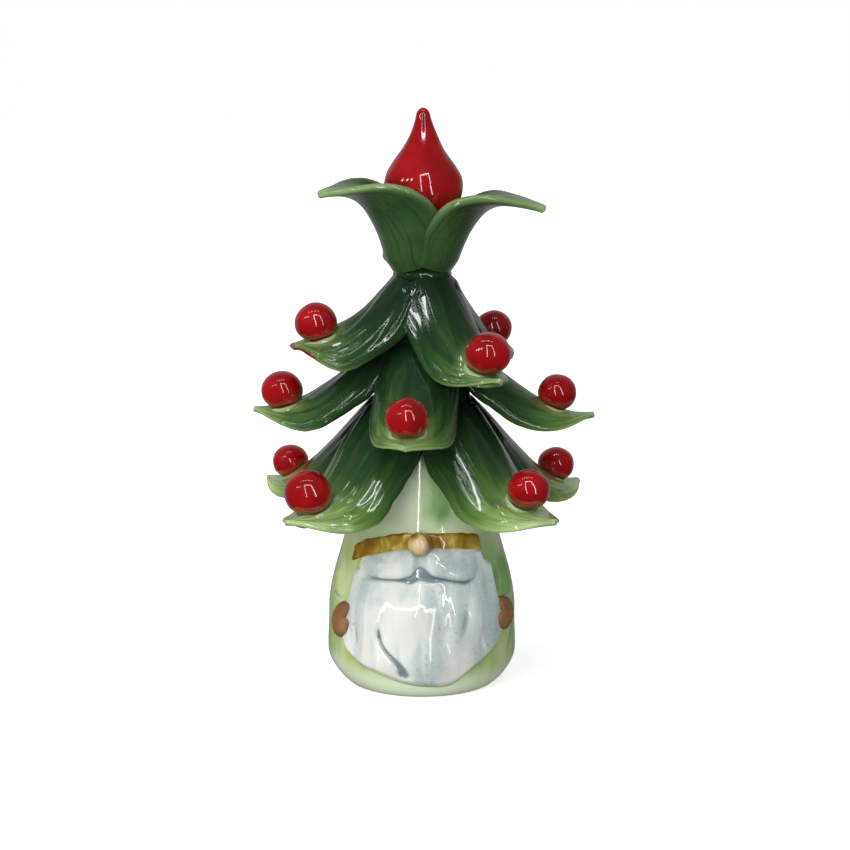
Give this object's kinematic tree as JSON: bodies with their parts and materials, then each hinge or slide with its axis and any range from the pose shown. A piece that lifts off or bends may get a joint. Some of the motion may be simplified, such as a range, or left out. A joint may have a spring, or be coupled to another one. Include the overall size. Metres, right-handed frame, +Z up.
{
  "type": "gnome figurine",
  "caption": "Glazed ceramic gnome ornament: a bell-shaped coat with a face in relief, under a tall leaf-tree hat with red balls and a bud.",
  "frame": {"origin": "centre of the foot ring, on the surface that the ornament stands on", "axes": "+Z up along the axis of the bell and the hat, -Y out of the gnome's face, +X to the right seen from the front"},
  "size_m": [0.1492, 0.1399, 0.25],
  "materials": {
    "coat_glaze": "glossy, streaked pale green",
    "hat_glaze": "glossy green, paler at the foot of the cone",
    "leaf_glaze": "glossy, dark green at the root to yellow-green at the tip",
    "collar_glaze": "glossy whitish green",
    "berry_glaze": "glossy deep red",
    "band_glaze": "glossy ochre",
    "beard_glaze": "glossy off-white, blue-grey in the creases",
    "mitten_glaze": "satin brown"
  },
  "bodies": {
    "root": {"body_shell": "coat_glaze", "hat_cone": "hat_glaze", "crown_leaf_left": "leaf_glaze", "crown_leaf_right": "leaf_glaze", "crown_leaf_back": "leaf_glaze", "bud": "berry_glaze", "leaf_top_left": "leaf_glaze", "seat_top_left": "collar_glaze", "ball_top_left": "berry_glaze", "leaf_top_right": "leaf_glaze", "seat_top_right": "collar_glaze", "ball_top_right": "berry_glaze", "leaf_top_back": "leaf_glaze", "seat_top_back": "collar_glaze", "ball_top_back": "berry_glaze", "leaf_middle_front": "leaf_glaze", "seat_middle_front": "collar_glaze", "ball_middle_front": "berry_glaze", "leaf_middle_right": "leaf_glaze", "seat_middle_right": "collar_glaze", "ball_middle_right": "berry_glaze", "leaf_middle_back": "leaf_glaze", "seat_middle_back": "collar_glaze", "ball_middle_back": "berry_glaze", "leaf_middle_left": "leaf_glaze", "seat_middle_left": "collar_glaze", "ball_middle_left": "berry_glaze", "leaf_bottom_front_left": "leaf_glaze", "seat_bottom_front_left": "collar_glaze", "ball_bottom_front_left": "berry_glaze", "leaf_bottom_front_right": "leaf_glaze", "seat_bottom_front_right": "collar_glaze", "ball_bottom_front_right": "berry_glaze", "leaf_bottom_back_right": "leaf_glaze", "seat_bottom_back_right": "collar_glaze", "ball_bottom_back_right": "berry_glaze", "leaf_bottom_back": "leaf_glaze", "seat_bottom_back": "collar_glaze", "ball_bottom_back": "berry_glaze", "leaf_bottom_back_left": "leaf_glaze", "seat_bottom_back_left": "collar_glaze", "ball_bottom_back_left": "berry_glaze", "hat_band": "band_glaze", "nose": "band_glaze", "moustache_left": "beard_glaze", "moustache_right": "beard_glaze", "beard": "beard_glaze", "mitten_left": "mitten_glaze", "mitten_right": "mitten_glaze", "sleeve_left": "coat_glaze", "sleeve_right": "coat_glaze"}
  },
  "joints": []
}
